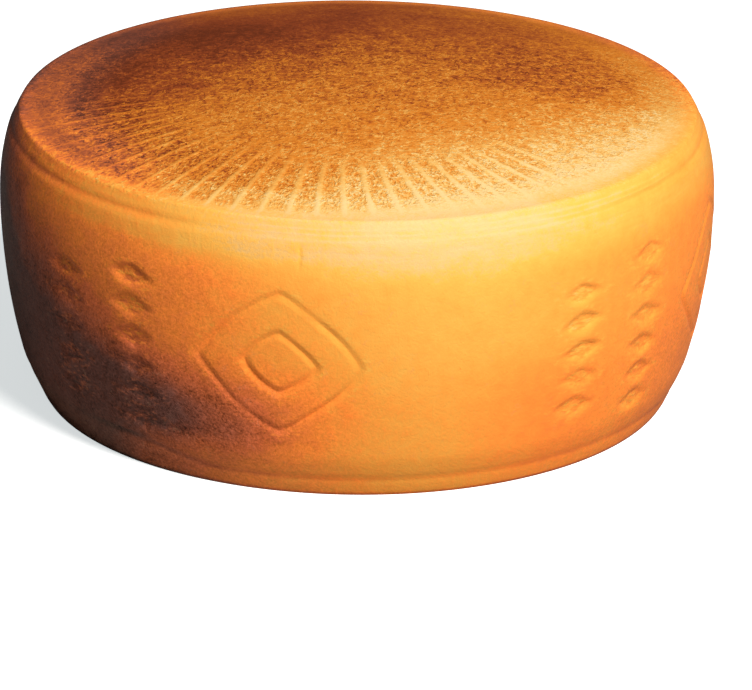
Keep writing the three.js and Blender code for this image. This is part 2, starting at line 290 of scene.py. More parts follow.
# Every lozenge of one pattern: its angle, height and half sizes, and the width of its line, or
# None where the whole of it is sunk.
def lozenges():
    yield LARGE_ANGLE, LARGE_HEIGHT, LARGE_HALF, LARGE_LINE
    yield LARGE_ANGLE, LARGE_HEIGHT, tuple(INNER_SHARE * size for size in LARGE_HALF), LARGE_LINE
    for angle, top, count in SMALL_COLUMNS:
        for row in range(count):
            yield angle, top - row * SMALL_STEP, SMALL_HALF, None


# How deep the lozenges are pressed at points of the side, from 0 to 1, or less than 0 on the lip
# round each, and the same for the small sunk ones alone.
def pressed_shares(angle, height):
    pressed = np.zeros(len(angle))
    floor = np.zeros(len(angle))
    lip = np.zeros(len(angle))
    for centre, middle, half, line in lozenges():
        turn = (angle - centre + PATTERN_TURN / 2) % PATTERN_TURN - PATTERN_TURN / 2
        gap = lozenge_gap(turn * GIRTH_RADIUS, height - middle, half)
        if line:
            share = smooth(-gap, 0, LINE_SOFTNESS) * smooth(gap, -line, LINE_SOFTNESS - line)
        else:
            share = smooth(-gap, 0, FIELD_SOFTNESS)
            floor = np.maximum(floor, share)
        pressed = np.maximum(pressed, share)
        rise = smooth(gap, 0, LIP_WIDTH / 2) * smooth(gap, LIP_WIDTH, LIP_WIDTH / 2)
        lip = np.maximum(lip, rise * LIP_SHARE)
    return np.where(pressed > 0, pressed, -lip), floor


# One quarter of the side laid flat, as points (length round the girth, height) and triangles: an
# even net with closer loops of points along the edges of each lozenge.
def side_quarter(start):
    length = PATTERN_TURN * GIRTH_RADIUS
    rows = round((SIDE_TOP - SIDE_FOOT) / SIDE_UP)
    columns = round(length / SIDE_ACROSS)
    flat = []
    edges = []
    for row in range(rows + 1):
        height = SIDE_FOOT + (SIDE_TOP - SIDE_FOOT) * row / rows
        if row == 0:
            places = np.linspace(0, 1, FOOT_POINTS // PATTERN_COUNT + 1)
        elif row == rows:
            places = np.linspace(0, 1, ROUND_POINTS // PATTERN_COUNT + 1)
        elif row % 2:
            places = np.linspace(0, 1, columns + 1)
        else:
            places = np.concatenate([[0], (np.arange(columns) + 0.5) / columns, [1]])
        flat += [(place * length, height) for place in places]
    flat = np.array(flat)
    keep = np.full(len(flat), True)
    loops = []
    for centre, middle, half, line in lozenges():
        across = (centre - start) % TAU * GIRTH_RADIUS
        gap = lozenge_gap(flat[:, 0] - across, flat[:, 1] - middle, half)
        if line:
            clear_inside = line + LINE_CLEARANCE
            gaps = [0, -LINE_SOFTNESS, LINE_SOFTNESS - line, -line, -line - LOOP_MARGIN]
        else:
            clear_inside = FIELD_SOFTNESS + FIELD_CLEARANCE
            gaps = [0, -FIELD_SOFTNESS / 2, -FIELD_SOFTNESS, -FIELD_SOFTNESS - LOOP_MARGIN]
        keep &= (gap <= -clear_inside) | (gap >= CLEAR_OUTSIDE)
        for edge_gap in [LOOP_MARGIN] + gaps:
            x, y = lozenge_loop(half, edge_gap, LOOP_SPACING)
            loops.append(np.stack([across + x, middle + y], axis=-1))
    flat = flat[keep]
    for loop in loops:
        first = len(flat)
        flat = np.concatenate([flat, loop])
        edges += [(first + i, first + (i + 1) % len(loop)) for i in range(len(loop))]
    found = delaunay_2d_cdt([Vector(p) for p in flat / length], edges, [], 0, 1e-7)
    return np.array(found[0]) * length, found[2]


# Faces between two rings: quads where they match point for point, and otherwise triangles, each
# reaching to the point that comes next by angle.
def faces_between(a, b, start_a, start_b):
    count_a = len(a)
    count_b = len(b)
    if count_a == count_b:
        for i in range(count_a):
            j = (i + 1) % count_a
            yield start_a + i, start_b + i, start_b + j, start_a + j
        return
    next_a = np.append(a[1:], a[0] + TAU)
    next_b = np.append(b[1:], b[0] + TAU)
    i = 0
    j = 0
    while i < count_a or j < count_b:
        here = start_a + i % count_a
        there = start_b + j % count_b
        if i < count_a and (j == count_b or next_a[i] < next_b[j]):
            yield here, there, start_a + (i + 1) % count_a
            i += 1
        else:
            yield here, there, start_b + (j + 1) % count_b
            j += 1


class Shell:
    def __init__(self):
        self.points = []
        self.faces = []

    # Rings joined in turn, and closed at their last one by a fan to a point where one is given
    def add_rings(self, rings, end=None):
        start = len(self.points)
        for k, (angle, points) in enumerate(rings):
            self.points += [tuple(p) for p in points]
            if k:
                before = rings[k - 1][0]
                self.faces += faces_between(before, angle, start, start + len(before))
                start += len(before)
        if end is not None:
            count = len(rings[-1][0])
            self.points.append(tuple(end))
            for i in range(count):
                self.faces.append((start + i, start + count, start + (i + 1) % count))

    def add_net(self, points, faces):
        start = len(self.points)
        self.points += [tuple(p) for p in points]
        self.faces += [tuple(start + i for i in face) for face in faces]


def wheel_shell():
    shell = Shell()
    first_angle = TAU * RIB_PHASE / RIB_COUNT
    even = first_angle + TAU * np.arange(ROUND_POINTS) / ROUND_POINTS

    # Upper face, from the edge of the middle outwards, then over the shoulder
    shares = np.linspace(0, 1, ZONE_RINGS + 1)
    rings = [zone_ring(TOP_FACE, share, POINTS_PER_RIB, dome_height) for share in shares]
    crowded = rings[-1][0]
    for step in range(1, EDGE_RINGS + 1):
        share = step / EDGE_RINGS
        angle = crowded + (even - crowded) * share
        inner = reach(TOP_FACE["meet"], angle, TOP_FACE["zone"], TOP_FACE["radius"])
        outer = reach(TOP_FACE["meet"], angle, (0, 0), RIM_RADIUS)
        distance = inner + (outer - inner) * share
        rings.append((angle, face_points(TOP_FACE, angle, distance, dome_height)))
    rim = rings[-1][1]
    at_rim = np.unwrap(np.arctan2(rim[:, 1], rim[:, 0]))
    at_rim += TAU * round((even[0] - at_rim[0]) / TAU)
    heights = profile_heights(RIM_HEIGHT, SIDE_TOP, SHOULDER_STEP)
    for height, share in zip(heights[1:], np.linspace(0, 1, len(heights))[1:]):
        angle = at_rim + (even - at_rim) * share
        rings.append((angle, side_point(angle, height)))
    shell.add_rings(rings)
    middle = middle_rings(TOP_FACE, dome_height, MIDDLE_BANDS)
    top_point = face_points(TOP_FACE, 0, 0, dome_height)
    shell.add_rings([rings[0]] + middle[1:], top_point)

    # Side, one quarter four times round
    start = even[0] - TAU / 2 + QUARTER_START
    flat, triangles = side_quarter(start)
    for pattern in range(PATTERN_COUNT):
        angle = start + flat[:, 0] / GIRTH_RADIUS + pattern * PATTERN_TURN
        shell.add_net(side_point(*drifted(angle, flat[:, 1])), triangles)

    # Foot and underside, to the middle
    even_foot = start + TAU * np.arange(FOOT_POINTS) / FOOT_POINTS
    rings = []
    for height in profile_heights(SIDE_FOOT, 0, FOOT_STEP):
        rings.append((even_foot, side_point(even_foot, height)))
    shift = round((first_angle - start) % TAU / TAU * FOOT_POINTS)
    rings = [(np.roll(angle, -shift), np.roll(points, -shift, axis=0)) for angle, points in rings]
    edge = rings[-1][1]
    zone_edge = zone_ring(FOOT_FACE, 1, FOOT_POINTS_PER_RIB, foot_height)
    for share in FOOT_EDGE_SHARES:
        between = edge + (zone_edge[1] - edge) * share
        between[:, 2] = foot_height(between[:, 0], between[:, 1])
        rings.append((zone_edge[0], between))
    for share in np.linspace(1, 0, FOOT_ZONE_RINGS + 1):
        rings.append(zone_ring(FOOT_FACE, share, FOOT_POINTS_PER_RIB, foot_height))
    rings += middle_rings(FOOT_FACE, foot_height, FOOT_MIDDLE_BANDS)
    shell.add_rings(rings, face_points(FOOT_FACE, 0, 0, foot_height))
    return shell


def drum_object():
    shell = wheel_shell()
    mesh = bpy.data.meshes.new("drum")
    mesh.from_pydata(shell.points, [], shell.faces)
    joined = bmesh.new()
    joined.from_mesh(mesh)
    bmesh.ops.remove_doubles(joined, verts=joined.verts, dist=MERGE_DISTANCE)
    bmesh.ops.recalc_face_normals(joined, faces=joined.faces)
    for face in joined.faces:
        face.smooth = True
    joined.to_mesh(mesh)
    joined.free()

    place = np.zeros(3 * len(mesh.vertices))
    mesh.vertices.foreach_get("co", place)
    x, y, z = place.reshape(-1, 3).T
    on_side = (z > SIDE_FOOT) & (z < SIDE_TOP) & (np.hypot(x, y) > FOOT_RADIUS)
    shares = pressed_shares(*undrifted(np.arctan2(y, x), z))
    for name, share in zip(("pressed", "floor"), shares):
        share = np.where(on_side, share, 0)
        mesh.attributes.new(name, "FLOAT", "POINT").data.foreach_set("value", share)

    drum = bpy.data.objects.new("drum", mesh)
    bpy.context.collection.objects.link(drum)
    return drum


# A number that varies over the surface: sums and products of numbers add Math nodes to a tree.
class Number:
    def __init__(self, tree, socket):
        self.tree = tree
        self.socket = socket

    def __add__(self, other):
        return worked("ADD", self, other)

    def __radd__(self, other):
        return worked("ADD", other, self)

    def __sub__(self, other):
        return worked("SUBTRACT", self, other)

    def __rsub__(self, other):
        return worked("SUBTRACT", other, self)

    def __mul__(self, other):
        return worked("MULTIPLY", self, other)

    def __rmul__(self, other):
        return worked("MULTIPLY", other, self)

    def __truediv__(self, other):
        return worked("DIVIDE", self, other)

    def __pow__(self, other):
        return worked("POWER", self, other)

    # 0 below low and 1 above high, with a smooth step between; the other way round if low is more
    def step(self, low, high):
        node = self.tree.nodes.new("ShaderNodeMapRange")
        node.interpolation_type = "SMOOTHSTEP"
        for name, value in (("Value", self), ("From Min", low), ("From Max", high)):
            feed(self.tree, value, node.inputs[name])
        return Number(self.tree, node.outputs["Result"])


def feed(tree, value, socket):
    if isinstance(value, Number):
        tree.links.new(value.socket, socket)
    elif isinstance(value, bpy.types.NodeSocket):
        tree.links.new(value, socket)
    else:
        socket.default_value = value


def worked(operation, *values):
    tree = next(value.tree for value in values if isinstance(value, Number))
    node = tree.nodes.new("ShaderNodeMath")
    node.operation = operation
    for socket, value in zip(node.inputs, values):
        feed(tree, value, socket)
    return Number(tree, node.outputs[0])


def parted(tree, vector):
    node = tree.nodes.new("ShaderNodeSeparateXYZ")
    feed(tree, vector, node.inputs[0])
    return [Number(tree, socket) for socket in node.outputs]


def gathered(tree, x, y, z):
    node = tree.nodes.new("ShaderNodeCombineXYZ")
    for socket, value in zip(node.inputs, (x, y, z)):
        feed(tree, value, socket)
    return node.outputs[0]


# Grey noise from 0 to 1 with grains of a size in metres. The seed picks its draw, detail and
# roughness say how much finer grain lies on it, and warp says how far its edges wander.
def grain(tree, vector, size, seed, detail=2.0, roughness=0.5, warp=0.0):
    node = tree.nodes.new("ShaderNodeTexNoise")
    node.noise_dimensions = "4D"
    scale = worked("DIVIDE", 1, size) if isinstance(size, Number) else 1 / size
    feed(tree, vector, node.inputs["Vector"])
    feed(tree, seed, node.inputs["W"])
    feed(tree, scale, node.inputs["Scale"])
    node.inputs["Detail"].default_value = detail
    node.inputs["Roughness"].default_value = roughness
    node.inputs["Distortion"].default_value = warp
    return Number(tree, node.outputs[0])


# A Geometry Nodes tree with named inputs; gives the tree, its inputs by name, and its end.
def press_tree(name, sizes):
    tree = bpy.data.node_groups.new(name, "GeometryNodeTree")
    tree.interface.new_socket("Geometry", in_out="OUTPUT", socket_type="NodeSocketGeometry")
    tree.interface.new_socket("Geometry", in_out="INPUT", socket_type="NodeSocketGeometry")
    tree.interface.new_socket("Rind", in_out="INPUT", socket_type="NodeSocketMaterial")
    for size_name, kind in sizes:
        tree.interface.new_socket(size_name, in_out="INPUT", socket_type="NodeSocket" + kind)
    entry = tree.nodes.new("NodeGroupInput")
    return tree, {socket.name: socket for socket in entry.outputs}


def keep_number(tree, geometry, name, number, selection=None):
    node = tree.nodes.new("GeometryNodeStoreNamedAttribute")
    node.data_type = "FLOAT"
    node.domain = "POINT"
    node.inputs["Name"].default_value = name
    tree.links.new(geometry, node.inputs["Geometry"])
    feed(tree, number, node.inputs["Value"])
    if selection is not None:
        feed(tree, selection, node.inputs["Selection"])
    return node.outputs[0]


def move_points(tree, geometry, offset, selection=None):
    node = tree.nodes.new("GeometryNodeSetPosition")
    tree.links.new(geometry, node.inputs["Geometry"])
    feed(tree, offset, node.inputs["Offset"])
    if selection is not None:
        feed(tree, selection, node.inputs["Selection"])
    return node.outputs[0]


def close_tree(tree, geometry, rind):
    real = tree.nodes.new("GeometryNodeRealizeInstances")
    coat = tree.nodes.new("GeometryNodeSetMaterial")
    leave = tree.nodes.new("NodeGroupOutput")
    tree.links.new(geometry, real.inputs[0])
    tree.links.new(real.outputs[0], coat.inputs["Geometry"])
    tree.links.new(rind, coat.inputs["Material"])
    tree.links.new(coat.outputs[0], leave.inputs[0])


# How the ways in which press marks are best kept, cut short, kept a little and widest spread, as
# cosines of the angle from each way, and the size of what hands have worn
KEPT_SPREAD = (0.20, 0.55)
SHORT_SPREAD = (0.93, 0.78)
SECOND_SPREAD = (0.72, 0.92)
WIDE_SPREAD = (0.55, 1.0)
WEAR_SIZE = 0.022


# The press cloth and lid leave ribs that run in to one point of a face, and rough cells between.
# They are worn away but for one stretch round the face and a fainter second one, and at the ends
# of that stretch the cells stop short of the ribs.
def ribbed_face_tree():
    tree, given = press_tree(
        "ribbed face",
        [
            ("Rib Count", "Float"),
            ("Rib Width", "Float"),
            ("Rib Height", "Float"),
            ("Rib Inner Radius", "Float"),
            ("Rib Twist", "Float"),
            ("Rib Phase", "Float"),
            ("Meeting Point", "Vector"),
            ("Zone Centre", "Vector"),
            ("Zone Radius", "Float"),
            ("Deepest Way", "Vector"),
            ("Second Way", "Vector"),
            ("Second Share", "Float"),
            ("Widest Way", "Vector"),
            ("Cell Depth", "Float"),
            ("Weave Size", "Float"),
            ("Weave Depth", "Float"),
            ("Fibre Size", "Float"),
            ("Fibre Depth", "Float"),
            ("Facing", "Float"),
            ("Mid Height", "Float"),
            ("Seed", "Float"),
        ],
    )
    number = {name: Number(tree, socket) for name, socket in given.items()}
    place = tree.nodes.new("GeometryNodeInputPosition").outputs[0]
    x, y, z = parted(tree, place)
    meet_x, meet_y, _ = parted(tree, given["Meeting Point"])
    zone_x, zone_y, _ = parted(tree, given["Zone Centre"])
    seed = number["Seed"]

    # Where a point lies: its angle and distance from the meeting point, and its share of the zone
    dx = x - meet_x
    dy = y - meet_y
    distance = worked("SQRT", dx * dx + dy * dy + 1e-9)
    angle = worked("ARCTAN2", dy, dx)
    off_x = meet_x - zone_x
    off_y = meet_y - zone_y
    along = (off_x * dx + off_y * dy) / distance
    within = along * along - off_x * off_x - off_y * off_y + number["Zone Radius"] ** 2.0
    outer = worked("SQRT", within) - along
    inner = number["Rib Inner Radius"]
    share = (distance - inner) / (outer - inner)
    lean = number["Rib Twist"] * (1 - worked("MINIMUM", share, 1.0))
    turn = (angle + lean) / TAU * number["Rib Count"]
    turn = turn - number["Rib Phase"]
    rib_number = worked("ROUND", turn)
    gap = worked("ABSOLUTE", turn - rib_number) * distance * TAU / number["Rib Count"]

    # How far a point lies towards one side of the face, from -1 to 1
    def towards(name):
        way_x, way_y, _ = parted(tree, given[name])
        return (dx * way_x + dy * way_y) / distance

    drift = grain(tree, place, WEAR_SIZE, seed)
    ragged = (drift - 0.5) * 0.35
    kept = (towards("Deepest Way") + ragged).step(*KEPT_SPREAD)
    ends = towards("Deepest Way").step(*SHORT_SPREAD)
    kept = kept + (towards("Second Way") + ragged).step(*SECOND_SPREAD) * number["Second Share"]
    wide = towards("Widest Way").step(*WIDE_SPREAD)

    # Ribs start thin, later where they are wide, and no two are quite alike
    half = number["Rib Width"] * (0.15 + share.step(0, 0.7) * 0.04 + wide * 0.16 + drift * 0.16)
    start = 0.02 + wide * 0.18 + 0.15 * grain(tree, gathered(tree, rib_number, 0.0, 0.0), 3.1, seed)
    weave = grain(tree, place, number["Weave Size"], seed + 1.0, 1.0) - 0.5
    ribs_on = share.step(start - 0.10, start + 0.10) * (share - ends * 0.12).step(1.09, 0.98)
    cells_on = share.step(0.10, 0.50) * (share + ends * 0.11 + weave * 0.16).step(1.02, 0.95)
    rib = gap.step(half, half * 0.35) * ribs_on * kept
    cell = gap.step(half * 0.7, half + 0.0008) * cells_on * kept

    fibre = grain(tree, place, number["Fibre Size"], seed + 2.0, 2.0) - 0.5
    plain = share.step(0.97, 0.86) * (1 - rib)
    lift = rib * number["Rib Height"] * (0.5 + drift) * share.step(0.99, 0.88)
    lift = lift - cell * number["Cell Depth"] + cell * weave * number["Weave Depth"]
    lift = lift + plain * fibre * number["Fibre Depth"]

    facing = number["Facing"]
    on_face = worked("GREATER_THAN", (z - number["Mid Height"]) * facing, 0.0)
    geometry = keep_number(tree, given["Geometry"], "rib", rib, on_face)
    geometry = keep_number(tree, geometry, "cell", cell, on_face)
    geometry = move_points(tree, geometry, gathered(tree, 0.0, 0.0, lift * facing), on_face)
    close_tree(tree, geometry, given["Rind"])
    return tree


# How far round the rim's crease fades, and the foot's climbs and ends at the top of its climb, as
# cosines again; then the share of the foot's crease that it loses there, and its share elsewhere
FADED_SPREAD = (0.70, 0.93)
CLIMB_SPREAD = (0.80, 0.96)
CLIMB_END_SPREAD = (0.955, 1.0)
CLIMB_END_LOSS = 0.85
FOOT_CREASE_LEAST = 0.55


# The hoop leaves a crease below the rim and one above the foot, and the lozenges of its stamp. The
# rim's crease is nearly rubbed away on one side; the foot's climbs a little on another.
def hoop_marks_tree():
    tree, given = press_tree(
        "hoop marks",
        [
            ("Rim Crease Height", "Float"),
            ("Rim Crease Depth", "Float"),
            ("Rim Crease Width", "Float"),
            ("Faded Way", "Vector"),
            ("Faded Share", "Float"),
            ("Foot Crease Height", "Float"),
            ("Foot Crease Depth", "Float"),
            ("Foot Crease Width", "Float"),
            ("Climbing Way", "Vector"),
            ("Foot Crease Climb", "Float"),
            ("Mark Depth", "Float"),
            ("Swell Size", "Float"),
            ("Swell Depth", "Float"),
            ("Seed", "Float"),
        ],
    )
    number = {name: Number(tree, socket) for name, socket in given.items()}
    place = tree.nodes.new("GeometryNodeInputPosition").outputs[0]
    x, y, z = parted(tree, place)
    radius = worked("SQRT", x * x + y * y + 1e-9)
    seed = number["Seed"]

    def towards(name):
        way_x, way_y, _ = parted(tree, given[name])
        return (x * way_x + y * way_y) / radius

    uneven = 0.6 + 0.8 * grain(tree, gathered(tree, x, y, z * 0.2), 0.06, seed)
    faded = towards("Faded Way").step(*FADED_SPREAD) * (1 - number["Faded Share"])
    climb = towards("Climbing Way").step(*CLIMB_SPREAD)

    def crease(kind, height):
        share = (z - height) / number[kind + " Crease Width"]
        return worked("EXPONENT", share * share * -1.0)

    rim_crease = crease("Rim", number["Rim Crease Height"]) * uneven * (1 - faded)
    foot_line = number["Foot Crease Height"] + climb * number["Foot Crease Climb"]
    strength = FOOT_CREASE_LEAST + climb * (1 - FOOT_CREASE_LEAST)
    climb_end = towards("Climbing Way").step(*CLIMB_END_SPREAD)
    foot_crease = crease("Foot", foot_line) * uneven * strength * (1 - climb_end * CLIMB_END_LOSS)
    pressed_node = tree.nodes.new("GeometryNodeInputNamedAttribute")
    pressed_node.data_type = "FLOAT"
    pressed_node.inputs["Name"].default_value = "pressed"
    pressed = Number(tree, pressed_node.outputs["Attribute"])
    worn = grain(tree, place, WEAR_SIZE, seed + 1.0) * 2.4 - 0.2
    swell = grain(tree, place, number["Swell Size"], seed + 2.0) - 0.5
    sunk = rim_crease * number["Rim Crease Depth"] + foot_crease * number["Foot Crease Depth"]
    sunk = sunk + pressed * worn * number["Mark Depth"]
    out = swell * number["Swell Depth"] * z.step(0.002, 0.02) * z.step(0.1405, 0.132) - sunk
    out = out / radius

    # The creases' share is kept for the rind's colour, which paints shade along them.
    geometry = keep_number(tree, given["Geometry"], "crease", rim_crease + foot_crease)
    geometry = move_points(tree, geometry, gathered(tree, x * out, y * out, 0.0))
    close_tree(tree, geometry, given["Rind"])
    return tree


def add_press(thing, tree, values):
    press = thing.modifiers.new(tree.name, "NODES")
    press.node_group = tree
    for item in tree.interface.items_tree:
        if item.in_out == "INPUT" and item.name in values:
            press[item.identifier] = values[item.name]


def mixed(tree, share, first, second, mode="MIX"):
    node = tree.nodes.new("ShaderNodeMix")
    node.data_type = "RGBA"
    node.blend_type = mode
    feed(tree, share, node.inputs["Factor"])
    colours = [socket for socket in node.inputs if socket.type == "RGBA"]
    for socket, value in zip(colours, (first, second)):
        feed(tree, (*value, 1.0) if isinstance(value, tuple) else value, socket)
    return next(socket for socket in node.outputs if socket.type == "RGBA")


# Rind colours in order of age, from the palest straw to the darkest brown, each with its place.
# The side ages to a purplish brown and the faces to a redder one. The side's darkest tones also
# carry painted shade, and its palest a painted sheen.
SIDE_TONES = [
    (0.00, (0.57, 0.365, 0.150)),
    (0.15, (0.68, 0.335, 0.057)),
    (0.30, (0.72, 0.273, 0.041)),
    (0.45, (0.79, 0.21, 0.032)),
    (0.62, (0.535, 0.121, 0.036)),
    (0.78, (0.31, 0.080, 0.038)),
    (0.92, (0.135, 0.050, 0.036)),
    (1.00, (0.080, 0.036, 0.027)),
]
FACE_TONES = [
    (0.00, (0.64, 0.44, 0.19)),
    (0.12, (0.63, 0.385, 0.125)),
    (0.25, (0.59, 0.297, 0.066)),
    (0.45, (0.54, 0.190, 0.026)),
    (0.58, (0.50, 0.152, 0.014)),
    (0.75, (0.33, 0.080, 0.012)),
    (0.87, (0.21, 0.040, 0.010)),
    (1.00, (0.115, 0.022, 0.006)),
]

SCUFF_TAN = (0.36, 0.20, 0.12)

# Sizes of the rind's grains in metres, from slow changes of age down to pores
CLOUD_SIZE = 0.070
PATCH_SIZE = 0.020
MOTTLE_SIZE = 0.0065
SCUFF_SIZE = 0.0050
FURROW_SIZE = 0.0046
CREST_SIZE = 0.0042
STREAK_SIZE = 0.0030
FIBRE_SIZE = 0.0026
CHIP_SIZE = 0.0017
SPECK_SIZE = 0.0013
PORE_SIZE = 0.0013

# Grains of the rough cells: where they run to on the face, their draw, and the radius where they
# keep their size
RIBS_MEET = TOP_FACE["meet"][1]
GRAIN_DRAW = 0.45
GRAIN_RADIUS = 0.12

# Stains that the cellar shelf and the brine leave: place in metres, reach, and how much browner
STAINS = [
    ((0.105, 0.028, 0.147), 0.058, 0.09),
    ((0.090, -0.150, 0.030), 0.060, 0.12),
    ((0.150, 0.090, 0.060), 0.080, 0.22),
    ((0.020, 0.172, 0.050), 0.070, 0.20),
]

# Fine lines that the edge of the cloth leaves on the shoulder: height and half width of each
CLOTH_LINES = ((0.1328, 0.0007), (0.1354, 0.0005), (0.1378, 0.0005))

# A short seam where the ends of the hoop met: its angle round the wheel, where it ends, and width
SEAM_ANGLE = math.radians(-98.7)
SEAM_FOOT = 0.117
SEAM_TOP = 0.132
SEAM_WIDTH = 0.0010


# Age of the rind, from 0 for the palest to 1 for the darkest. It is a sum of browner and paler
# stretches: each runs in by a step between two places in metres, and is given its share of age.
# Besides the rind's own colours it carries painted shade, at the left and low down where the side
# turns from the lamp, and a painted sheen on the shoulder.
def side_age_and_shade(x, y, z, drift):
    left = x * -1.0 + drift

    # Golden in front, and browner towards the left and the right; towards the left partly painted
    # shade, away from the lamp
    age = 0.20 + left.step(-0.03, 0.11) * 0.30 + x.step(0.06, 0.16) * 0.20

    # Paler on the shoulder, least so at the far left: partly a paler rind and partly a painted sheen
    # where the shoulder faces the lamp
    age = age - z.step(0.109, 0.127) * (0.04 + left.step(0.125, 0.075) * 0.13)
    age = age - z.step(0.120, 0.127) * left.step(0.0, 0.06) * left.step(0.150, 0.125) * 0.13

    # Browner low down, most of all at the left, and up to the rim behind; low down and at the left
    # this is partly painted shade
    age = age + z.step(0.085, 0.050) * 0.08
    age = age + z.step(0.082, 0.036) * z.step(0.010, 0.036) * left.step(-0.01, 0.070) * 0.19
    age = age + (y + drift).step(0.03, 0.13) * z.step(0.132, 0.120) * 0.18
    age = age + (y + z * 0.4).step(0.03, 0.12) * z.step(0.120, 0.134) * 0.34

    # Darkest at the left, away from the lamp: partly the rind's own brown and partly painted shade.
    # The dark patch reaches further round the lower it is, and is a little paler at its foot; the
    # very foot is darker too.
    golden_width = 0.037 + worked("MAXIMUM", z - 0.030, 0.0) * 0.95 + z.step(0.030, 0.070) * 0.012
    brown_and_shaded_left = (left - golden_width).step(-0.002, 0.104)
    brown_and_shaded_left = brown_and_shaded_left * (1 - z.step(0.036, 0.015) * left.step(0.140, 0.085) * 0.60)
    age = age + brown_and_shaded_left * 0.5 + left.step(0.150, 0.172) * 0.20 + z.step(0.003, 0.0) * 0.2

    # Browner twice up the far left, and paler in the near end of the dark patch: both shape the
    # painted shade there
    age = age + left.step(0.138, 0.165) * z.step(0.116, 0.100) * 0.08
    far_left = left.step(0.120, 0.148) * left.step(0.172, 0.156)
    age = age + far_left * z.step(0.104, 0.086) * z.step(0.046, 0.066) * 0.06
    near_left = left.step(0.060, 0.074) * left.step(0.108, 0.090)
    age = age - near_left * z.step(0.046, 0.034) * z.step(0.008, 0.018) * 0.07
    # The far left edge, turned furthest from the lamp, is darker still: painted shade.
    return worked("MINIMUM", age, 0.92) + left.step(0.145, 0.172) * 0.07


# The face is straw in front and brown behind, darkest behind at the left, and a little paler
# towards its edge. What lies slantwise across it is measured along its way, in shares of x and y.
def face_age(x, y, radius, drift):
    behind_left = (x * -0.77 + y * 0.64 + drift).step(0.010, 0.125)
    behind = (y + drift).step(0.015, 0.112)
    ahead = (x * 0.53 - y * 0.848 + drift).step(0.044, 0.150)
    far_behind = (y + drift).step(0.110, 0.150) * x.step(-0.120, -0.060)
    ring = radius.step(0.134, 0.146) * (1 - behind * 0.8)
    low_left = (x * -0.77 - y * 0.64).step(0.130, 0.152) * x.step(-0.080, -0.112)
    browner = (y + drift).step(-0.040, 0.020) * (0.11 - x.step(0.07, 0.13) * 0.09) + behind * 0.09
    age = 0.58 + behind_left * 0.39 + browner * (1 - behind_left) - ahead * 0.52
    back_left = (y + drift).step(0.092, 0.124) * x.step(-0.125, -0.085) * x.step(-0.005, -0.055)
    age = age + low_left * 0.24 - far_behind * 0.08 - ring * (0.19 - ahead * 0.17)
    return age - back_left * 0.10


def tone_ramp(tree, age, tones):
    ramp = tree.nodes.new("ShaderNodeValToRGB")
    ramp.color_ramp.elements.remove(ramp.color_ramp.elements[0])
    for k, (position, colour) in enumerate(tones):
        element = ramp.color_ramp.elements[0] if k == 0 else ramp.color_ramp.elements.new(position)
        element.position = position
        element.color = (*colour, 1.0)
    feed(tree, age, ramp.inputs[0])
    return ramp.outputs["Color"]


# Thin winding lines, 1 on the line and 0 beside it, that keep only where a second noise is high.
def winding_lines(tree, place, size, width, seed, kept_from, kept_full):
    line = worked("ABSOLUTE", grain(tree, place, size, seed, 2.0, 0.55, 0.5) - 0.5).step(width, 0.0)
    return line * grain(tree, place, size * 1.4, seed + 0.5, 1.0).step(kept_from, kept_full)


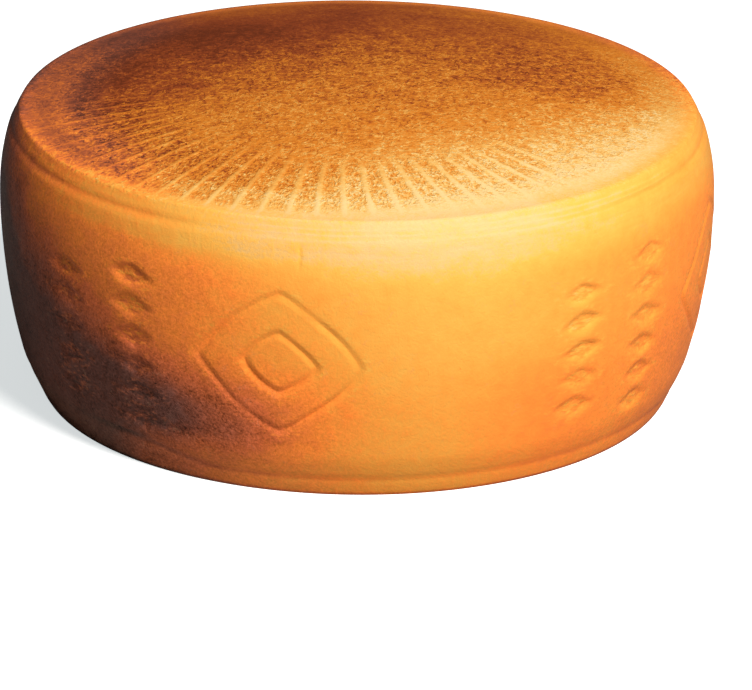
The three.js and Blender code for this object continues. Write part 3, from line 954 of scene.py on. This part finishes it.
def rind_finish():
    rind = bpy.data.materials.new("rubbed rind")
    rind.use_nodes = True
    tree = rind.node_tree
    shader = tree.nodes["Principled BSDF"]
    place = tree.nodes.new("ShaderNodeTexCoord").outputs["Object"]
    x, y, z = parted(tree, place)
    radius = worked("SQRT", x * x + y * y)

    def kept(name):
        node = tree.nodes.new("ShaderNodeAttribute")
        node.attribute_name = name
        return Number(tree, node.outputs["Fac"])

    rib, cell, crease = kept("rib"), kept("cell"), kept("crease")
    pressed, floor = kept("pressed"), kept("floor")
    on_top = z.step(0.1300, 0.1380) * radius.step(0.168, 0.152)
    on_side = 1 - on_top

    # Slow changes of age
    cloud = grain(tree, place, CLOUD_SIZE, 11.0, 3.0, 0.55) - 0.5
    patch = grain(tree, place, PATCH_SIZE, 12.0, 3.0, 0.6, 0.4) - 0.5
    drift = cloud * 0.04 + patch * 0.015
    side = side_age_and_shade(x, y, z, drift)
    age = side + (face_age(x, y, radius, drift) - side) * on_top
    mid_top = on_top * radius.step(0.150, 0.115)
    age = age + cloud * (0.10 + on_top * 0.08) + patch * (0.10 + mid_top * 0.12)
    for spot, size, strength in STAINS:
        away = tree.nodes.new("ShaderNodeVectorMath")
        away.operation = "DISTANCE"
        feed(tree, place, away.inputs[0])
        away.inputs[1].default_value = spot
        distance = Number(tree, away.outputs["Value"]) * (1.0 + 0.9 * patch)
        age = age + distance.step(size, size * 0.25) * strength

    # Fine wrinkles of the face: short pale crests and short dark furrows, in colour as well as in the
    # bump; the pale crests are partly painted highlight and the dark furrows partly painted shade
    fibre = grain(tree, place, FIBRE_SIZE, 21.0, 3.0, 0.7, 0.6) - 0.5
    crests = winding_lines(tree, place, CREST_SIZE, 0.060, 31.0, 0.36, 0.52)
    furrows = winding_lines(tree, place, FURROW_SIZE, 0.055, 41.0, 0.38, 0.54)

    # They are on the face alone: fainter on ribs, near the edge and behind, and a little stronger
    # round the left
    smooth_ring = radius.step(0.146, 0.154) * (x - y * 2.0).step(0.10, 0.25)
    left_ring = radius.step(0.115, 0.145) * x.step(-0.07, -0.12)
    wrinkled = z.step(0.1385, 0.1415) * (1 - rib * 0.8) * (1 - smooth_ring * 0.7)
    wrinkled = wrinkled * (1 - (y + drift).step(0.04, 0.11) * 0.60)
    wrinkled = wrinkled * (1 - (y * 0.64 - x * 0.77 + drift).step(0.02, 0.11) * 0.45)
    wrinkled = wrinkled * (1 + left_ring * 0.2) * (1 - radius.step(0.144, 0.152) * 0.25)
    age = age + wrinkled * (fibre * 0.86 - crests * 0.25 + furrows * 0.16)

    # Rough cells between smooth pale ribs, with grains drawn out along the ribs
    from_middle = worked("SQRT", x * x + (y - RIBS_MEET) * (y - RIBS_MEET) + 1e-9)
    spread = from_middle / GRAIN_RADIUS
    drawn = gathered(tree, x / spread, (y - RIBS_MEET) / spread, from_middle * GRAIN_DRAW)
    speck = grain(tree, drawn, SPECK_SIZE, 22.0, 2.0, 0.6, 0.3)
    pits = speck.step(0.48, 0.36)
    flecks = speck.step(0.55, 0.66)
    rough = (cell + (speck - 0.5) * 1.4).step(0.20, 0.70) * (1 - left_ring * 0.35)
    age = age + rough * (0.06 + pits * 0.17 - flecks * 0.22)
    age = age - rib * (0.09 + x.step(-0.02, -0.09) * 0.09) * (1 - left_ring * 0.35)

    # The pale scratches on the floors and lips of the pressed marks: partly wear and partly painted
    # highlight
    chip = grain(tree, gathered(tree, x * 0.4, y * 0.4, z), CHIP_SIZE, 24.0, 2.0, 0.6)
    scratches_and_highlight = chip.step(0.50, 0.62) * (floor + pressed.step(0.0, -LIP_SHARE) * 0.7)
    age = age + floor * (chip.step(0.48, 0.36) * 0.08 - 0.03) - scratches_and_highlight * 0.14

    # The side: soft streaks round the shoulder, specks, mottling, and painted shade along the creases
    # of the hoop, darker near the foot
    round_x = x / radius * 0.02
    round_y = y / radius * 0.02
    streak = grain(tree, gathered(tree, round_x, round_y, z), STREAK_SIZE, 51.0, 3.0, 0.6) - 0.5
    shoulder = z.step(0.112, 0.130) * (1 - radius.step(0.156, 0.146))
    mottle = grain(tree, place, MOTTLE_SIZE, 52.0, 3.0, 0.65) - 0.5
    close = grain(tree, place, PORE_SIZE, 23.0, 3.0, 0.7)
    specks = close.step(0.68, 0.76)
    dark = side.step(0.42, 0.82) * on_side
    age = age + mottle * (on_side * 0.20 + mid_top * 0.20) + crease * (0.07 + z.step(0.05, 0.02) * 0.08)
    age = age + shoulder * streak * 0.24 + specks * 0.20 * (1 - dark)
    age = age + (close - 0.5) * (0.22 - on_side * side.step(0.25, 0.50) * 0.11)

    # The cloth's fine lines, faded to the left, and the seam of the hoop
    lines = 0.0
    for height, half_width in CLOTH_LINES:
        share = (z + streak * 0.0012 - height) / half_width
        lines = lines + worked("EXPONENT", share * share * -1.0)
    lines = lines * (0.25 + (x + y * -0.3).step(-0.05, 0.05) * 0.75)
    lines = lines * grain(tree, gathered(tree, round_x, round_y, z * 0.1), 0.006, 53.0).step(0.3, 0.5)
    across = y * math.cos(SEAM_ANGLE) - x * math.sin(SEAM_ANGLE) + streak * 0.002
    across = across / SEAM_WIDTH
    seam = worked("EXPONENT", across * across * -1.0) * y.step(0.0, -0.1)
    seam = seam * z.step(SEAM_FOOT, SEAM_FOOT + 0.006) * z.step(SEAM_TOP, SEAM_TOP - 0.003)
    age = age - lines * 0.07 + seam * 0.05

    # Small pale scuffs, which show most on the dark side
    straw = on_top * (1 - left_ring * 0.6)
    colour = mixed(tree, straw, tone_ramp(tree, age, SIDE_TONES), tone_ramp(tree, age, FACE_TONES))
    scuffs = winding_lines(tree, place, SCUFF_SIZE, 0.040, 61.0, 0.60, 0.70)
    # The pale scratches of the marks, partly painted highlight, are paler still on the dark side.
    scuffs = scuffs * (on_side * 0.12 + dark * 0.20) + scratches_and_highlight * dark * 0.14
    scuffs = scuffs + z.step(0.030, 0.012) * x.step(0.01, -0.05) * 0.12
    colour = mixed(tree, scuffs, colour, SCUFF_TAN)
    pores = close.step(0.36, 0.28)
    shade = dark * ((close - 0.5) * 1.8 + mottle * 1.8 + patch * 1.4 + specks * 0.6 - pores * 0.3)
    shade = 1 + shade + on_side * (close - 0.5) * (0.25 + side.step(0.25, 0.50))
    colour = mixed(tree, 1.0, colour, shade, "MULTIPLY")
    feed(tree, colour, shader.inputs["Base Color"])

    roughness = 0.48 + wrinkled * fibre * 0.30 + rough * 0.15 + (close - 0.5) * 0.10
    feed(tree, roughness, shader.inputs["Roughness"])
    shader.inputs["Specular IOR Level"].default_value = 0.06

    height = wrinkled * (fibre * 0.00075 + crests * 0.00012 - furrows * 0.00016)
    height = height + rough * (speck - 0.5) * 0.0009 + floor * (chip - 0.5) * 0.0005
    height = height + close * (0.00022 + dark * 0.00030)
    height = height + on_side * mottle * 0.00025 + shoulder * streak * 0.00010
    height = height + lines * 0.00004 - specks * 0.00008 - seam * 0.0002
    bump = tree.nodes.new("ShaderNodeBump")
    bump.inputs["Strength"].default_value = 1.0
    bump.inputs["Distance"].default_value = 1.0
    feed(tree, height, bump.inputs["Height"])
    feed(tree, bump.outputs["Normal"], shader.inputs["Normal"])
    return rind


# A level direction at an angle round the wheel
def way(degrees):
    return math.cos(math.radians(degrees)), math.sin(math.radians(degrees)), 0.0


rind = rind_finish()
drum = drum_object()

face_press = ribbed_face_tree()
shared_ribs = {
    "Rind": rind,
    "Rib Count": float(RIB_COUNT),
    "Rib Width": RIB_WIDTH,
    "Rib Height": 0.00012,
    "Rib Inner Radius": RIB_INNER,
    "Rib Twist": RIB_TWIST,
    "Rib Phase": RIB_PHASE,
    "Cell Depth": 0.0002,
    "Weave Size": 0.0028,
    "Weave Depth": 0.0007,
    "Fibre Size": 0.0045,
    "Fibre Depth": 0.0003,
    "Second Share": 0.45,
    "Mid Height": RIM_HEIGHT / 2,
}
for face, facing, deepest, second, widest, seed in (
    (TOP_FACE, 1.0, way(-110), way(5), way(-82), 3.0),
    (FOOT_FACE, -1.0, way(40), way(170), way(70), 8.0),
):
    add_press(
        drum,
        face_press,
        shared_ribs
        | {
            "Meeting Point": (*face["meet"], 0.0),
            "Zone Centre": (*face["zone"], 0.0),
            "Zone Radius": face["radius"],
            "Deepest Way": deepest,
            "Second Way": second,
            "Widest Way": widest,
            "Facing": facing,
            "Seed": seed,
        },
    )
add_press(
    drum,
    hoop_marks_tree(),
    {
        "Rind": rind,
        "Rim Crease Height": 0.1335,
        "Rim Crease Depth": 0.0008,
        "Rim Crease Width": 0.0019,
        "Faded Way": way(-80),
        "Faded Share": 0.15,
        "Foot Crease Height": 0.0095,
        "Foot Crease Depth": 0.0010,
        "Foot Crease Width": 0.0014,
        "Climbing Way": way(-150),
        "Foot Crease Climb": 0.0085,
        "Mark Depth": 0.0009,
        "Swell Size": 0.05,
        "Swell Depth": 0.0008,
        "Seed": 5.0,
    },
)

depsgraph = bpy.context.evaluated_depsgraph_get()
pressed_mesh = bpy.data.meshes.new_from_object(
    drum.evaluated_get(depsgraph), preserve_all_data_layers=True, depsgraph=depsgraph
)
wheel = bpy.data.objects.new("pressed_wheel", pressed_mesh)
bpy.context.collection.objects.link(wheel)
bpy.data.objects.remove(drum)
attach(wheel, "root")
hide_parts("cheese_wheel")


# ---- Floor and lights -----------------------------------------------------------------------
# A plain pale floor under plain soft light: one large soft lamp high at the right and in front,
# and a weak pale sky.
FLOOR_REACH = 8
corners = [(-1, -1), (1, -1), (1, 1), (-1, 1)]
floor_mesh = bpy.data.meshes.new("floor")
floor_mesh.from_pydata([(x * FLOOR_REACH, y * FLOOR_REACH, 0) for x, y in corners], [], [(0, 1, 2, 3)])
floor = bpy.data.objects.new("floor", floor_mesh)
bpy.context.collection.objects.link(floor)

FLOOR_SEEN = (0.85, 0.85, 0.85)
FLOOR_THROWN_BACK = (0.30, 0.29, 0.28)
FLOOR_GLOW = 0.65
FLOOR_GLOW_COLOUR = (0.94, 0.99, 1.0, 1.0)


# Pale to the eye, with its shadows lifted by a glow, while the light that it throws back at the
# wheel is held down as by a dark flag.
def floor_finish():
    pale = bpy.data.materials.new("pale floor")
    pale.use_nodes = True
    tree = pale.node_tree
    shader = tree.nodes["Principled BSDF"]
    shader.inputs["Roughness"].default_value = 0.8
    seen = tree.nodes.new("ShaderNodeLightPath").outputs["Is Camera Ray"]
    feed(tree, mixed(tree, seen, FLOOR_THROWN_BACK, FLOOR_SEEN), shader.inputs["Base Color"])
    shader.inputs["Emission Color"].default_value = FLOOR_GLOW_COLOUR
    feed(tree, Number(tree, seen) * FLOOR_GLOW, shader.inputs["Emission Strength"])
    return pale


floor_mesh.materials.append(floor_finish())


def soft_lamp(name, place, aim, size, power, colour):
    lamp = bpy.data.objects.new(name, bpy.data.lights.new(name, "AREA"))
    lamp.data.shape = "DISK"
    lamp.data.size = size
    lamp.data.energy = power
    lamp.data.color = colour
    lamp.location = place
    lamp.rotation_mode = "QUATERNION"
    lamp.rotation_quaternion = (Vector(aim) - Vector(place)).to_track_quat("-Z", "Y")
    bpy.context.collection.objects.link(lamp)


# The key lamp stands thirty degrees to the right of the camera and forty-five degrees up, and is
# aimed at the middle of the wheel. Its size is in metres and its power in watts.
KEY_DISTANCE = 2.4
KEY_TURN = math.radians(-60)
KEY_RISE = math.radians(45)
KEY_AIM = (0, 0, 0.08)
KEY_SIZE = 1.0
KEY_POWER = 112
KEY_WHITE = (1.0, 0.97, 0.93)
key_place = (
    KEY_DISTANCE * math.cos(KEY_RISE) * math.cos(KEY_TURN),
    KEY_DISTANCE * math.cos(KEY_RISE) * math.sin(KEY_TURN),
    KEY_DISTANCE * math.sin(KEY_RISE) + KEY_AIM[2],
)
soft_lamp("key lamp", key_place, KEY_AIM, KEY_SIZE, KEY_POWER, KEY_WHITE)

SKY_STRENGTH = 0.08

sky = bpy.data.worlds.new("sky")
sky.use_nodes = True
sky.node_tree.nodes["Background"].inputs["Color"].default_value = (1, 1, 1, 1)
sky.node_tree.nodes["Background"].inputs["Strength"].default_value = SKY_STRENGTH
bpy.context.scene.world = sky
bpy.context.scene.view_settings.view_transform = "Standard"
